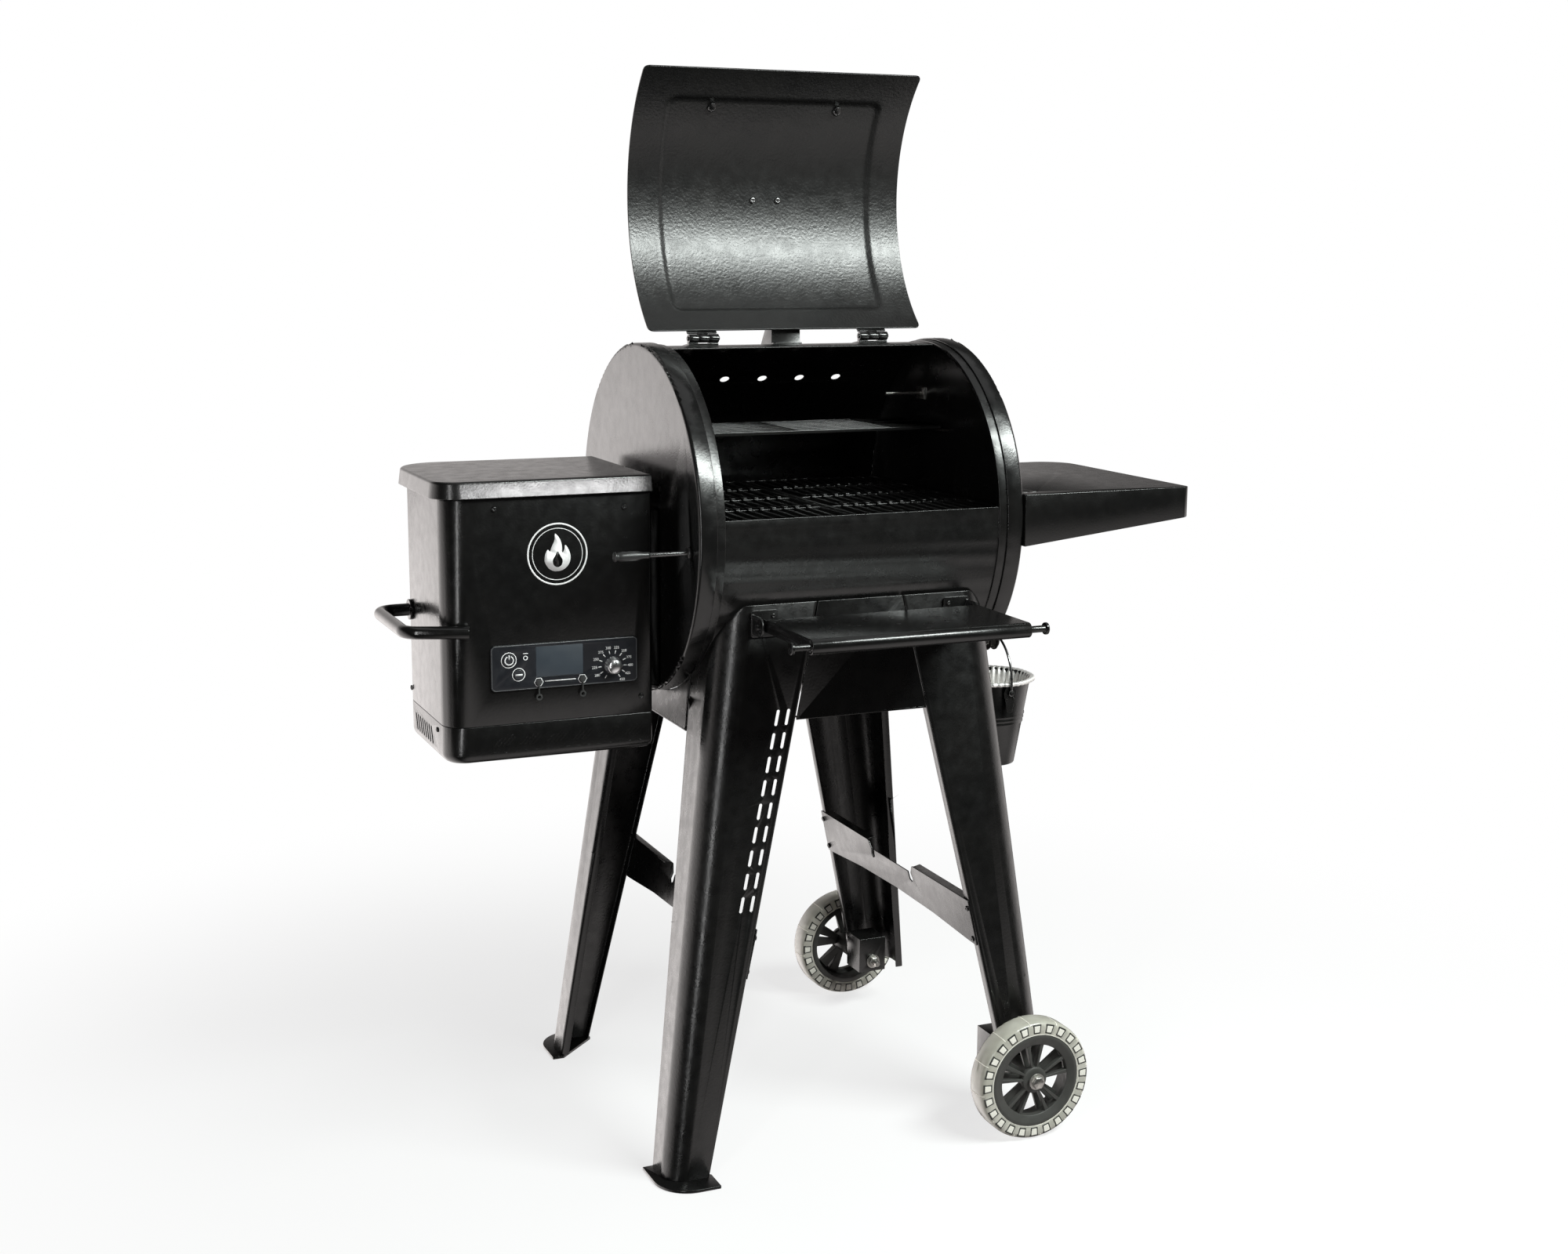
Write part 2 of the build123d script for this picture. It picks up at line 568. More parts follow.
with BuildPart() as hopper_shell:
    with BuildSketch(level(HOPPER_SEAM)):
        add(hopper_outline(0))
        add(hopper_outline(SHEET), mode=Mode.SUBTRACT)
    extrude(amount=HOPPER_TOP - HOPPER_SEAM)
    with BuildSketch(facing(-HOPPER_HALF)):
        with Locations((PANEL_X, PANEL_Z)):
            Rectangle(PANEL_W - 10, PANEL_H - 10)
    extrude(amount=20, both=True, mode=Mode.SUBTRACT)
    with BuildSketch(across(HOPPER_RIGHT)):
        with Locations((0, AUGER_Z)):
            Circle(AUGER_TUBE_R + 0.4)
        with Locations((0, DUCT_Z)):
            Rectangle(DUCT_W + 1, DUCT_H + 1)
    extrude(amount=20, both=True, mode=Mode.SUBTRACT)
    with BuildSketch(facing(HOPPER_HALF)):
        with Locations((INLET_X, INLET_Z)):
            Rectangle(30, 22)
    extrude(amount=20, both=True, mode=Mode.SUBTRACT)
hopper_shell.part.label = "hopper_shell"
export_step(hopper_shell.part, "parts/hopper_shell.step")

with BuildPart() as hopper_base:
    with BuildSketch(level(HOPPER_LOW)):
        add(hopper_outline(0))
    extrude(amount=HOPPER_SEAM - HOPPER_LOW - 0.4)
    fillet(hopper_base.faces().sort_by(Axis.Z)[0].edges(), radius=12)
    offset(amount=-SHEET, openings=hopper_base.faces().sort_by(Axis.Z)[-1])
    with BuildSketch(across(HOPPER_LEFT)):
        for slot in range(8):
            with Locations((-38 + slot * 12, 592)):
                SlotOverall(24, 5, rotation=68)
    extrude(amount=20, both=True, mode=Mode.SUBTRACT)
hopper_base.part.label = "hopper_base"
export_step(hopper_base.part, "parts/hopper_base.step")

with BuildPart() as hopper_lid:
    with BuildSketch(level(HOOD_Z)):
        with BuildLine():
            near = [(HOOD_LEFT, -HOOD_HALF), (HOOD_RIGHT, -HOOD_HALF)]
            far = [(HOOD_RIGHT, HOOD_HALF), (HOOD_LEFT, HOOD_HALF)]
            FilletPolyline(*near, *far, radius=[36, 4, 4, 64], close=True)
        make_face()
    extrude(amount=HOOD_H)
    fillet(hopper_lid.faces().sort_by(Axis.Z)[-1].edges(), radius=3.5)
    offset(amount=-SHEET, openings=hopper_lid.faces().sort_by(Axis.Z)[0])
    for x in HOOD_HINGES:
        with BuildSketch(across(x)):
            with Locations((HOOD_PIN_Y, HOOD_PIN_Z)):
                Circle(4.5)
            with Locations((HOOD_HALF + 4, HOOD_PIN_Z + 6.5)):
                Rectangle(11, 8)
            with Locations((HOOD_PIN_Y, HOOD_PIN_Z)):
                Circle(HOOD_PIN_R + 0.06, mode=Mode.SUBTRACT)
        extrude(amount=9, both=True)
hopper_lid.part.label = "hopper_lid"
export_step(hopper_lid.part, "parts/hopper_lid.step")

with BuildPart() as hopper_lid_hinge:
    for x in HOOD_HINGES:
        for end in (-1, 1):
            with BuildSketch(across(x + end * 10)):
                with Locations((HOOD_PIN_Y, HOOD_PIN_Z)):
                    Circle(4.5)
                with Locations(((HOPPER_HALF + 0.1 + HOOD_PIN_Y) / 2, HOOD_PIN_Z - 5)):
                    Rectangle(HOOD_PIN_Y - HOPPER_HALF - 0.1, 8)
            extrude(amount=end * 9)
        with BuildSketch(across(x)):
            with Locations((HOOD_PIN_Y, HOOD_PIN_Z)):
                Circle(HOOD_PIN_R)
        extrude(amount=20, both=True)
        with BuildSketch(across(x)):
            with Locations((HOPPER_HALF + 1.1, HOOD_PIN_Z - 18)):
                Rectangle(2, 28)
        extrude(amount=19, both=True)
hopper_lid_hinge.part.label = "hopper_lid_hinge"
export_step(hopper_lid_hinge.part, "parts/hopper_lid_hinge.step")

with BuildPart() as hopper_handle:
    with BuildLine():
        wall = HOPPER_LEFT - 0.1
        points = [(wall, GRIP_BACK), (GRIP_X, GRIP_BACK), (GRIP_X, GRIP_FRONT), GRIP_END]
        FilletPolyline(*[at(x, y, GRIP_Z) for x, y in points], radius=24)
    with BuildSketch(Plane(origin=at(wall, GRIP_BACK, GRIP_Z), z_dir=(-1, 0, 0))):
        Circle(GRIP_R)
    sweep()
    with BuildSketch(across(wall)):
        with Locations((GRIP_BACK, GRIP_Z)):
            Circle(14)
    extrude(amount=-4)
    with BuildSketch(Plane(origin=at(*GRIP_PAD, GRIP_Z), z_dir=(*GRIP_PAD_OUT, 0)).offset(0.15)):
        Circle(7)
    extrude(amount=8)
hopper_handle.part.label = "hopper_handle"
export_step(hopper_handle.part, "parts/hopper_handle.step")

with BuildPart() as hopper_neck:
    gap = -CAP_FACE - HOPPER_RIGHT
    with BuildSketch(across(HOPPER_RIGHT + 0.1)):
        with Locations((0, NECK_Z)):
            RectangleRounded(NECK_W, NECK_H, 8)
            RectangleRounded(NECK_W - 6, NECK_H - 6, 5, mode=Mode.SUBTRACT)
    extrude(amount=gap - 0.2)
hopper_neck.part.label = "hopper_neck"
export_step(hopper_neck.part, "parts/hopper_neck.step")


def bin_section(z, left, right, half, radii):
    """Section of the pellet bin at a height."""
    with BuildSketch(level(z)) as section:
        with BuildLine():
            near, far = [(left, -half), (right, -half)], [(right, half), (left, half)]
            FilletPolyline(*near, *far, radius=radii, close=True)
        make_face()
    return section.sketch


with BuildPart() as pellet_bin:
    for wall, mode in ((0, Mode.ADD), (SHEET, Mode.SUBTRACT)):
        mouth = [HOPPER_LEFT + 7 + wall, HOPPER_RIGHT - 5.5 - wall, HOPPER_HALF - 7 - wall]
        reach, half = CHUTE_L / 2 + SHEET - wall, CHUTE_W / 2 + SHEET - wall
        throat = [CHUTE_X - reach, CHUTE_X + reach, half]
        top = bin_section(BIN_TOP, *mouth, [28 - wall, 8 - wall, 8 - wall, 55 - wall])
        low = bin_section(BIN_LOW, *throat, [4 - wall] * 4)
        loft([top, low], ruled=True, mode=mode)
pellet_bin.part.label = "pellet_bin"
export_step(pellet_bin.part, "parts/pellet_bin.step")

with BuildPart() as pellet_guard:
    with BuildSketch(level(GUARD_Z)):
        with Locations((GUARD_X, 0)):
            RectangleRounded(182, 150, 28)
            with GridLocations(GUARD_PITCH, 0, GUARD_SLOTS, 1):
                Rectangle(15, 136, mode=Mode.SUBTRACT)
    extrude(amount=3)
pellet_guard.part.label = "pellet_guard"
export_step(pellet_guard.part, "parts/pellet_guard.step")

with BuildPart() as auger_tube:
    with BuildSketch(across(AUGER_START + 2)):
        with Locations((0, AUGER_Z)):
            Circle(AUGER_TUBE_R)
            Circle(AUGER_TUBE_R - AUGER_WALL, mode=Mode.SUBTRACT)
    extrude(amount=AUGER_END - AUGER_START + 6)
    with BuildSketch(level(AUGER_Z)):
        with Locations((CHUTE_X, 0)):
            Rectangle(CHUTE_L, CHUTE_W)
    extrude(amount=CHUTE_W, mode=Mode.SUBTRACT)
    with BuildSketch(level(BIN_LOW)):
        with Locations((CHUTE_X, 0)):
            Rectangle(CHUTE_L + 2 * SHEET, CHUTE_W + 2 * SHEET)
            Rectangle(CHUTE_L, CHUTE_W, mode=Mode.SUBTRACT)
    extrude(amount=-12)
    with Locations(at(CHUTE_X, 0, AUGER_Z)):
        Cylinder(AUGER_TUBE_R - AUGER_WALL, 90, rotation=(0, 90, 0), mode=Mode.SUBTRACT)
auger_tube.part.label = "auger_tube"
export_step(auger_tube.part, "parts/auger_tube.step")

with BuildPart() as auger_screw:
    with BuildSketch(across(AUGER_START)):
        with Locations((0, AUGER_Z)):
            Circle(SHAFT_R)
    extrude(amount=AUGER_END - AUGER_START)
    for flight in range(FLIGHTS):
        with BuildSketch(across(AUGER_START + FLIGHT_R + flight * FLIGHT_PITCH)):
            with Locations((0, AUGER_Z)):
                Circle(FLIGHT_R)
        extrude(amount=3)
auger_screw.part.label = "auger_screw"
export_step(auger_screw.part, "parts/auger_screw.step")

with BuildPart() as auger_motor:
    with BuildSketch(across(AUGER_START - 2)):
        with Locations((0, AUGER_Z)):
            Rectangle(64, 62)
    extrude(amount=-20)
    with BuildSketch(across(AUGER_START - 22)):
        with Locations((0, AUGER_Z + 4)):
            Circle(27)
    extrude(amount=-26)
auger_motor.part.label = "auger_motor"
export_step(auger_motor.part, "parts/auger_motor.step")

with BuildPart() as fan_housing:
    with BuildSketch(level(FAN_LOW)):
        with Locations((FAN_X, 0)):
            RectangleRounded(112, 112, 10)
            Circle(FAN_R, mode=Mode.SUBTRACT)
    extrude(amount=FAN_H)
    with BuildSketch(level(FAN_LOW)):
        with Locations((FAN_X, 0)):
            Circle(FAN_R + 1)
            Circle(34, mode=Mode.SUBTRACT)
    extrude(amount=SHEET)
    with BuildSketch(level(FAN_LOW + FAN_H - SHEET)):
        with Locations((FAN_X, 0)):
            Circle(FAN_R + 1)
    extrude(amount=SHEET)
    with BuildSketch(across(FAN_X + 54)):
        with Locations((0, DUCT_Z)):
            Rectangle(DUCT_W, DUCT_H)
            Rectangle(DUCT_W - 2 * SHEET, DUCT_H - 2 * SHEET, mode=Mode.SUBTRACT)
    extrude(amount=80)
    with BuildSketch(across(FAN_X + 40)):
        with Locations((0, DUCT_Z)):
            Rectangle(DUCT_W - 2 * SHEET, DUCT_H - 2 * SHEET)
    extrude(amount=20, mode=Mode.SUBTRACT)
fan_housing.part.label = "fan_housing"
export_step(fan_housing.part, "parts/fan_housing.step")

with BuildPart() as fan_impeller:
    with BuildSketch(level(FAN_LOW + 8)):
        with Locations((FAN_X, 0)):
            Circle(FAN_R - 4)
    extrude(amount=SHEET)
    with BuildSketch(level(FAN_LOW + 9)):
        with Locations((FAN_X, 0)):
            Circle(8)
            with PolarLocations(FAN_R - 12, 18):
                Rectangle(14, 2)
    extrude(amount=22)
fan_impeller.part.label = "fan_impeller"
export_step(fan_impeller.part, "parts/fan_impeller.step")

with BuildPart() as burn_pot:
    with BuildSketch(level(POT_LOW)):
        Circle(POT_R)
        Circle(POT_R - 3, mode=Mode.SUBTRACT)
    extrude(amount=POT_H)
    with BuildSketch(level(POT_GRID)):
        Circle(POT_R - 1)
        with PolarLocations(28, 10):
            Circle(3, mode=Mode.SUBTRACT)
    extrude(amount=3)
    with BuildSketch(level(POT_LOW - 20)):
        with PolarLocations(POT_R - 5, 4):
            Circle(4)
    extrude(amount=22)
    with BuildSketch(across(AUGER_END)):
        with Locations((0, AUGER_Z)):
            Circle(AUGER_TUBE_R + 0.4)
    extrude(amount=30, mode=Mode.SUBTRACT)
    with Locations(at(0, 0, BARREL_Z)):
        Cylinder(SHELL_R - SHEET - 0.2, 600, rotation=(0, 90, 0), mode=Mode.INTERSECT)
burn_pot.part.label = "burn_pot"
export_step(burn_pot.part, "parts/burn_pot.step")

# ---------------------------------------------------------------- control panel

with BuildPart() as control_panel:
    with BuildSketch(facing(-HOPPER_HALF - 0.1)):
        with Locations((PANEL_X, PANEL_Z)):
            RectangleRounded(PANEL_W, PANEL_H, 6)
        with Locations((DISPLAY_X, DISPLAY_Z)):
            RectangleRounded(DISPLAY_W, DISPLAY_H, 2, mode=Mode.SUBTRACT)
        with Locations((POWER_X, POWER_Z)):
            Circle(POWER_R, mode=Mode.SUBTRACT)
        with Locations((PRIME_X, PRIME_Z)):
            Circle(PRIME_R, mode=Mode.SUBTRACT)
        with Locations((DIAL_X, DIAL_Z)):
            Circle(3.06, mode=Mode.SUBTRACT)
        with Locations(*PORTS):
            Circle(2.6, mode=Mode.SUBTRACT)
    extrude(amount=PANEL_T)
    chamfer(control_panel.faces().sort_by(Axis.Y)[0].outer_wire().edges(), length=0.8)
control_panel.part.label = "control_panel"
export_step(control_panel.part, "parts/control_panel.step")

with BuildPart() as display_window:
    with BuildSketch(facing(-HOPPER_HALF - 0.6)):
        with Locations((DISPLAY_X, DISPLAY_Z)):
            RectangleRounded(DISPLAY_W - 0.3, DISPLAY_H - 0.3, 1.8)
    extrude(amount=2.2)
display_window.part.label = "display_window"
export_step(display_window.part, "parts/display_window.step")

BUTTONS = (("power_button", POWER_X, POWER_Z, POWER_R), ("prime_button", PRIME_X, PRIME_Z, PRIME_R))
for name, x, z, radius in BUTTONS:
    with BuildPart() as button:
        with BuildSketch(facing(-HOPPER_HALF + 3)):
            with Locations((x, z)):
                Circle(radius - 0.35)
        extrude(amount=8.2)
        fillet(button.faces().sort_by(Axis.Y)[0].edges(), radius=0.8)
    button.part.label = name
    export_step(button.part, f"parts/{name}.step")

with BuildPart() as temperature_knob:
    with BuildSketch(facing(-HOPPER_HALF - PANEL_T - 0.6)):
        with Locations((DIAL_X, DIAL_Z)):
            Circle(DIAL_R)
    extrude(amount=15, taper=5)
    fillet(temperature_knob.faces().sort_by(Axis.Y)[0].edges(), radius=1.5)
    with BuildSketch(facing(-HOPPER_HALF + 8)):
        with Locations((DIAL_X, DIAL_Z)):
            Circle(3)
    extrude(amount=13)
    with BuildSketch(facing(-HOPPER_HALF - PANEL_T - 14.6)):
        with Locations((DIAL_X, DIAL_Z + 6)):
            Rectangle(1.6, 8)
    extrude(amount=2, mode=Mode.SUBTRACT)
temperature_knob.part.label = "temperature_knob"
export_step(temperature_knob.part, "parts/temperature_knob.step")

with BuildPart() as control_board:
    with BuildSketch(facing(-HOPPER_HALF + 16)):
        with Locations((PANEL_X, PANEL_Z)):
            Rectangle(176, 46)
    extrude(amount=1.6)
    with BuildSketch(facing(-HOPPER_HALF + 14.4)):
        with Locations((DISPLAY_X, DISPLAY_Z)):
            Rectangle(50, 34)
    extrude(amount=6)
control_board.part.label = "control_board"
export_step(control_board.part, "parts/control_board.step")

with BuildPart() as probe_plugs:
    for x, z in PORTS:
        with BuildSketch(facing(-HOPPER_HALF - 1)):
            with Locations((x, z)):
                Circle(2.4)
        extrude(amount=4)
        with BuildSketch(facing(-HOPPER_HALF - PANEL_T - 0.4)):
            with Locations((x, z)):
                RegularPolygon(4.6, 6)
            with Locations((x, z - 10)):
                Rectangle(2, 14)
            with Locations((x, z - 20)):
                Circle(4.5)
                Circle(2.2, mode=Mode.SUBTRACT)
        extrude(amount=2.2)
probe_plugs.part.label = "probe_plugs"
export_step(probe_plugs.part, "parts/probe_plugs.step")

with BuildPart() as power_inlet:
    with BuildSketch(facing(HOPPER_HALF + 0.1)):
        with Locations((INLET_X, INLET_Z)):
            RectangleRounded(48, 27, 3)
    extrude(amount=-3)
    with BuildSketch(facing(HOPPER_HALF + 0.1)):
        with Locations((INLET_X, INLET_Z)):
            Rectangle(28, 20)
    extrude(amount=22)
    with BuildSketch(facing(HOPPER_HALF + 3.1)):
        with Locations((INLET_X, INLET_Z)):
            RectangleRounded(24, 16, 3)
    extrude(amount=17, mode=Mode.SUBTRACT)
    with BuildSketch(facing(HOPPER_HALF - 10)):
        with Locations((INLET_X, INLET_Z), (INLET_X - 7, INLET_Z - 4), (INLET_X + 7, INLET_Z - 4)):
            Rectangle(2, 4)
    extrude(amount=-10)
power_inlet.part.label = "power_inlet"
export_step(power_inlet.part, "parts/power_inlet.step")

# ---------------------------------------------------------------- cooking chamber

with BuildPart() as heat_deflector:
    with BuildSketch(level(DEFLECTOR_Z)):
        Rectangle(DEFLECTOR_L, DEFLECTOR_W)
        with GridLocations(FLUTE_PITCH, FLUTE_ROW, 8, 2):
            SlotOverall(FLUTE_L, FLUTE_W, rotation=90, mode=Mode.SUBTRACT)
    extrude(amount=SHEET)
    with BuildSketch(level(DEFLECTOR_Z)):
        with GridLocations(0, DEFLECTOR_W - SHEET, 1, 2):
            Rectangle(DEFLECTOR_L, SHEET)
    extrude(amount=-12)
    with BuildSketch(across(0)):
        with Locations((0, BARREL_Z)):
            Circle(SHELL_R - SHEET - 0.3)
    extrude(amount=230, both=True, mode=Mode.INTERSECT)
heat_deflector.part.label = "heat_deflector"
export_step(heat_deflector.part, "parts/heat_deflector.step")

with BuildPart() as broiler_slide:
    with BuildSketch(level(SLIDE_Z)):
        with Locations((SLIDE_X, 0)):
            Rectangle(SLIDE_L, SLIDE_W)
            with GridLocations(FLUTE_PITCH, FLUTE_ROW, 7, 2):
                SlotOverall(FLUTE_L, FLUTE_W, rotation=90, mode=Mode.SUBTRACT)
        with Locations((SLIDE_ARM_X, -144)):
            Rectangle(20, 104)
    extrude(amount=SHEET)
    with BuildSketch(facing(-198)):
        with Locations((SLIDE_ARM_X, SLIDE_Z + 6)):
            Rectangle(20, 12)
    extrude(amount=-SHEET)
    with BuildSketch(across(SLIDE_ARM_X - 2)):
        with BuildLine():
            foot = [(-196, SLIDE_Z), (-190, SLIDE_Z)]
            head = [(-199, 850), (-211, 850), (-211, 792), (-196, 786)]
            Polyline(*foot, *head, close=True)
        make_face()
    extrude(amount=3)
broiler_slide.part.label = "broiler_slide"
export_step(broiler_slide.part, "parts/broiler_slide.step")

with BuildPart() as broiler_rod:
    with BuildSketch(across(ROD_START)):
        with Locations((ROD_Y, ROD_Z)):
            Circle(ROD_R)
    extrude(amount=SLIDE_ARM_X - 2.1 - ROD_START)
broiler_rod.part.label = "broiler_rod"
export_step(broiler_rod.part, "parts/broiler_rod.step")

with BuildPart() as broiler_grip:
    with BuildSketch(across(ROD_GRIP)):
        with Locations((ROD_Y, ROD_Z)):
            Circle(6.5)
    extrude(amount=49)
    fillet(broiler_grip.edges().filter_by(GeomType.CIRCLE), radius=2)
    with BuildSketch(across(ROD_START)):
        with Locations((ROD_Y, ROD_Z)):
            Circle(ROD_R + 0.05)
    extrude(amount=10, mode=Mode.SUBTRACT)
broiler_grip.part.label = "broiler_grip"
export_step(broiler_grip.part, "parts/broiler_grip.step")

for name, side in (("left_grate", -1), ("right_grate", 1)):
    with BuildPart() as grate:
        with BuildSketch(level(GRATE_LOW)):
            with Locations((side * GRATE_MID, 0)):
                Rectangle(GRATE_W, 2 * GRATE_NEAR)
                Rectangle(GRATE_W - 16, 2 * GRATE_NEAR - 16, mode=Mode.SUBTRACT)
                with GridLocations(GRATE_PITCH, 0, GRATE_BARS, 1):
                    Rectangle(6, 2 * GRATE_NEAR - 8)
                with GridLocations(0, GRATE_ROW, 1, 3):
                    Rectangle(GRATE_W - 8, 6)
        extrude(amount=GRATE_H)
        with BuildSketch(level(GRATE_LOW + GRATE_H)):
            with Locations((side * GRATE_MID, 0)):
                with GridLocations(GRATE_PITCH, GRATE_ROW, GRATE_BARS, 3):
                    Rectangle(6, 14)
        extrude(amount=3)
        with BuildSketch(level(GRATE_LOW)):
            with Locations((side * GRATE_MID, -GRATE_NEAR)):
                SlotOverall(34, 10)
        extrude(amount=GRATE_H, mode=Mode.SUBTRACT)
    grate.part.label = name
    export_step(grate.part, f"parts/{name}.step")

with BuildPart() as chamber_rails:
    for end in (-1, 1):
        with BuildSketch(across(0)):
            with Locations((end * 216, GRATE_LOW - 1.3)):
                Rectangle(32, 2.4)
            with Locations((end * 201, GRATE_LOW - 8)):
                Rectangle(2, 14)
        extrude(amount=228, both=True)
        with BuildSketch(level(RACK_Z - 6)):
            with Locations((end * 231.4, (RACK_NEAR + RACK_FAR) / 2)):
                Rectangle(9, RACK_FAR - RACK_NEAR + 14)
        extrude(amount=3)
chamber_rails.part.label = "chamber_rails"
export_step(chamber_rails.part, "parts/chamber_rails.step")

with BuildPart() as upper_rack:
    with BuildSketch(level(RACK_Z - 2.8)):
        with Locations((0, (RACK_NEAR + RACK_FAR) / 2)):
            RectangleRounded(RACK_W, RACK_FAR - RACK_NEAR, 8)
            RectangleRounded(RACK_W - 10, RACK_FAR - RACK_NEAR - 10, 4, mode=Mode.SUBTRACT)
            with GridLocations(0, RACK_PITCH, 1, RACK_BARS):
                Rectangle(RACK_W - 4, 3)
            with GridLocations(150, 0, 3, 1):
                Rectangle(4, RACK_FAR - RACK_NEAR - 4)
    extrude(amount=5)
upper_rack.part.label = "upper_rack"
export_step(upper_rack.part, "parts/upper_rack.step")

with BuildPart() as chamber_probe:
    with BuildSketch(across(CAP_FACE - SHEET - 0.1)):
        with Locations((PROBE_Y, PROBE_Z)):
            Circle(3)
    extrude(amount=-60)
    with BuildSketch(across(CAP_FACE - SHEET - 0.1)):
        with Locations((PROBE_Y, PROBE_Z)):
            Rectangle(26, 18)
    extrude(amount=-2.5)
chamber_probe.part.label = "chamber_probe"
export_step(chamber_probe.part, "parts/chamber_probe.step")

# ---------------------------------------------------------------- shelves

with BuildPart() as side_shelf:
    start = CAP_FACE + 0.2
    with BuildSketch(level(SHELF_Z)):
        with BuildLine():
            near, far = [(start, SHELF_NEAR), (SHELF_END, SHELF_NEAR)], [(SHELF_END, SHELF_FAR), (start, SHELF_FAR)]
            FilletPolyline(*near, *far, radius=[0.5, 12, 50, 0.5], close=True)
        make_face()
    extrude(amount=-75)
    offset(amount=-SHEET, openings=side_shelf.faces().sort_by(Axis.Z)[0])
    with BuildSketch(facing(SHELF_FAR + 10)):
        with BuildLine():
            slope = [(start - 5, SHELF_ROOT_LOW), (SHELF_END + 5, SHELF_TIP_LOW)]
            below = [(SHELF_END + 5, SHELF_ROOT_LOW - 60), (start - 5, SHELF_ROOT_LOW - 60)]
            Polyline(*slope, *below, close=True)
        make_face()
    extrude(amount=SHELF_FAR - SHELF_NEAR + 20, mode=Mode.SUBTRACT)
    with BuildSketch(level(SHELF_Z + 1)):
        with Locations((254, -214.5), (268.5, -214.5)):
            SlotOverall(9, 4)
    extrude(amount=-10, mode=Mode.SUBTRACT)
side_shelf.part.label = "side_shelf"
export_step(side_shelf.part, "parts/side_shelf.step")

with BuildPart() as front_shelf:
    with BuildSketch(level(TRAY_Z + ROLL_R - SHEET)):
        with Locations((0, (TRAY_Y + TRAY_BACK) / 2)):
            Rectangle(2 * TRAY_HALF, TRAY_BACK - TRAY_Y)
    extrude(amount=SHEET)
    with BuildSketch(across(0)):
        with Locations((TRAY_Y, TRAY_Z)):
            Circle(ROLL_R)
            Circle(ROLL_R - SHEET, mode=Mode.SUBTRACT)
    extrude(amount=TRAY_HALF, both=True)
    with BuildSketch(across(0)):
        with Locations((TRAY_BACK - 1, TRAY_Z + 3)):
            Rectangle(SHEET, 12)
    extrude(amount=TRAY_HALF, both=True)
    for side in (-1, 1):
        with BuildSketch(across(side * TRAY_HALF)):
            with Locations((TRAY_PIN_Y, TRAY_PIN_Z)):
                Circle(9)
            with Locations(((TRAY_Y + TRAY_PIN_Y) / 2, TRAY_Z + 1)):
                Rectangle(TRAY_PIN_Y - TRAY_Y, 16)
        extrude(amount=-side * SHEET)
        with BuildSketch(across(side * TRAY_HALF)):
            with Locations((TRAY_PIN_Y, TRAY_PIN_Z)):
                Circle(4)
        extrude(amount=side * 9)
        with BuildSketch(across(side * (TRAY_HALF - 6))):
            with Locations((TRAY_Y, TRAY_Z)):
                Circle(ROLL_R - 1)
        extrude(amount=side * 5)
        with BuildSketch(across(side * (TRAY_HALF - 2))):
            with Locations((TRAY_Y, TRAY_Z)):
                Circle(4.5)
        extrude(amount=side * 26)
        with BuildSketch(across(side * (TRAY_HALF + 23))):
            with Locations((TRAY_Y, TRAY_Z)):
                Circle(8)
        extrude(amount=side * 4)
front_shelf.part.label = "front_shelf"
export_step(front_shelf.part, "parts/front_shelf.step")

with BuildPart() as shelf_brackets:
    for side in (-1, 1):
        with BuildSketch(facing(BRACKET_FACE)):
            with Locations((side * BRACKET_X, TRAY_PIN_Z)):
                RectangleRounded(38, 36, 3)
        extrude(amount=2.5)
        with BuildSketch(across(side * (TRAY_HALF + SHEET))):
            with Locations((TRAY_PIN_Y, TRAY_PIN_Z)):
                Circle(13)
            with Locations(((TRAY_PIN_Y + BRACKET_FACE) / 2, TRAY_PIN_Z)):
                Rectangle(BRACKET_FACE - TRAY_PIN_Y, 26)
            with Locations((TRAY_PIN_Y, TRAY_PIN_Z)):
                Circle(4.06, mode=Mode.SUBTRACT)
        extrude(amount=side * 3)
shelf_brackets.part.label = "shelf_brackets"
export_step(shelf_brackets.part, "parts/shelf_brackets.step")

# ---------------------------------------------------------------- grease

with BuildPart() as drain_spout:
    with BuildSketch(across(SPOUT_START)):
        with Locations((SPOUT_Y, SPOUT_Z)):
            Circle(SPOUT_R)
            Circle(SPOUT_R - 2, mode=Mode.SUBTRACT)
    extrude(amount=BUCKET_X + 10 - SPOUT_START)
    for x in (BUCKET_X - 7, BUCKET_X + 5):
        with BuildSketch(across(x)):
            with Locations((SPOUT_Y, SPOUT_Z)):
                Circle(SPOUT_R + 3)
                Circle(SPOUT_R - 1, mode=Mode.SUBTRACT)
        extrude(amount=2)
drain_spout.part.label = "drain_spout"
export_step(drain_spout.part, "parts/drain_spout.step")

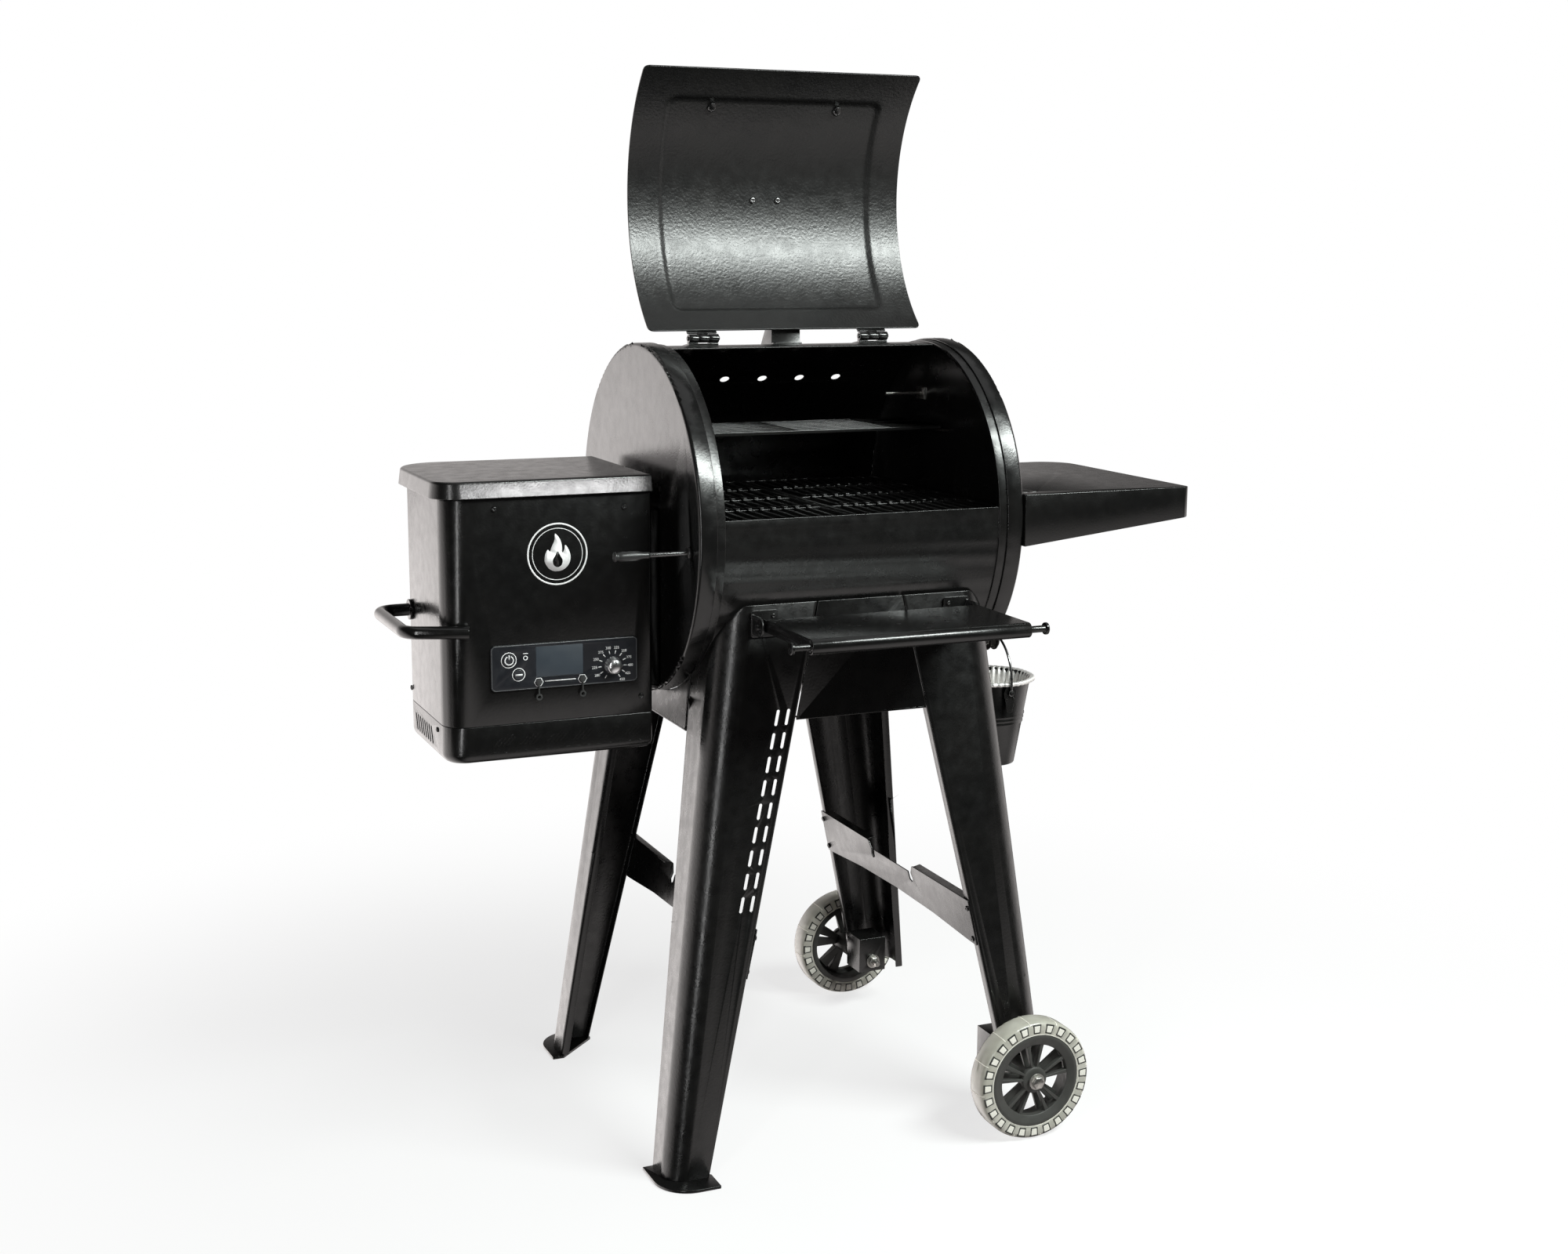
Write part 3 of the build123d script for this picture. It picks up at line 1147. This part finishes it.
with BuildPart() as grease_bucket:
    with BuildSketch(Plane(origin=at(BUCKET_X, SPOUT_Y, 0), x_dir=(1, 0, 0), z_dir=(0, -1, 0))):
        with BuildLine():
            outside = [(0, BUCKET_LOW), (BUCKET_FOOT_R, BUCKET_LOW), (BUCKET_R - 3, BUCKET_TOP - 2)]
            rim = [(BUCKET_R, BUCKET_TOP - 2), (BUCKET_R, BUCKET_TOP), (BUCKET_R - 4.5, BUCKET_TOP)]
            inside = [(BUCKET_FOOT_R - 1.2, BUCKET_LOW + 1.2), (0, BUCKET_LOW + 1.2)]
            Polyline(*outside, *rim, *inside, close=True)
        make_face()
    revolve(axis=Axis(at(BUCKET_X, SPOUT_Y, 0), (0, 0, 1)))
    for end in (-1, 1):
        with BuildSketch(facing(SPOUT_Y + end * (BUCKET_R - 4.6))):
            with Locations((BUCKET_X, EAR_Z)):
                RectangleRounded(14, 22, 6)
        extrude(amount=-end * 4)
        with BuildSketch(facing(SPOUT_Y + end * (BUCKET_R - 4))):
            with Locations((BUCKET_X, EAR_Z)):
                Circle(1.5)
        extrude(amount=-end * 11)
grease_bucket.part.label = "grease_bucket"
export_step(grease_bucket.part, "parts/grease_bucket.step")

ARCH_Z = SPOUT_Z + SPOUT_R + 0.3 + BAIL_R - BAIL_SPAN
with BuildPart() as bucket_bail:
    with BuildSketch(level(ARCH_Z)):
        with Locations((BUCKET_X, SPOUT_Y - BAIL_SPAN)):
            Circle(BAIL_R)
    revolve(axis=Axis(at(BUCKET_X, SPOUT_Y, ARCH_Z), (-1, 0, 0)), revolution_arc=180)
    with BuildSketch(level(ARCH_Z)):
        with Locations((BUCKET_X, SPOUT_Y - BAIL_SPAN), (BUCKET_X, SPOUT_Y + BAIL_SPAN)):
            Circle(BAIL_R)
    extrude(amount=EAR_Z + 3 - ARCH_Z)
    for end in (-1, 1):
        with BuildSketch(facing(SPOUT_Y + end * (BAIL_SPAN - EYE_T / 2))):
            with Locations((BUCKET_X, EAR_Z)):
                Circle(4.5)
        extrude(amount=-end * EYE_T)
        with BuildSketch(facing(SPOUT_Y + end * (BAIL_SPAN - EYE_T))):
            with Locations((BUCKET_X, EAR_Z)):
                Circle(1.57)
        extrude(amount=-end * 2 * EYE_T, mode=Mode.SUBTRACT)
bucket_bail.part.label = "bucket_bail"
export_step(bucket_bail.part, "parts/bucket_bail.step")

# ---------------------------------------------------------------- fasteners

with BuildPart() as fasteners:
    with BuildSketch(facing(-HOPPER_HALF - 0.1)):
        with Locations((-475, 902), (-299, 897), (-277, 640)):
            Circle(3.5)
    extrude(amount=SCREW_HEAD)
    with BuildSketch(facing(BRACKET_FACE - 2.6)):
        with Locations((-130, 758), (-130, 738), (130, 758), (130, 738)):
            Circle(3)
    extrude(amount=SCREW_HEAD)
    with BuildSketch(across(SHELF_END + 0.1)):
        with Locations((-225, 884), (66, 884)):
            Circle(4.5)
    extrude(amount=SCREW_HEAD - 0.1)
fasteners.part.label = "fasteners"
export_step(fasteners.part, "parts/fasteners.step")
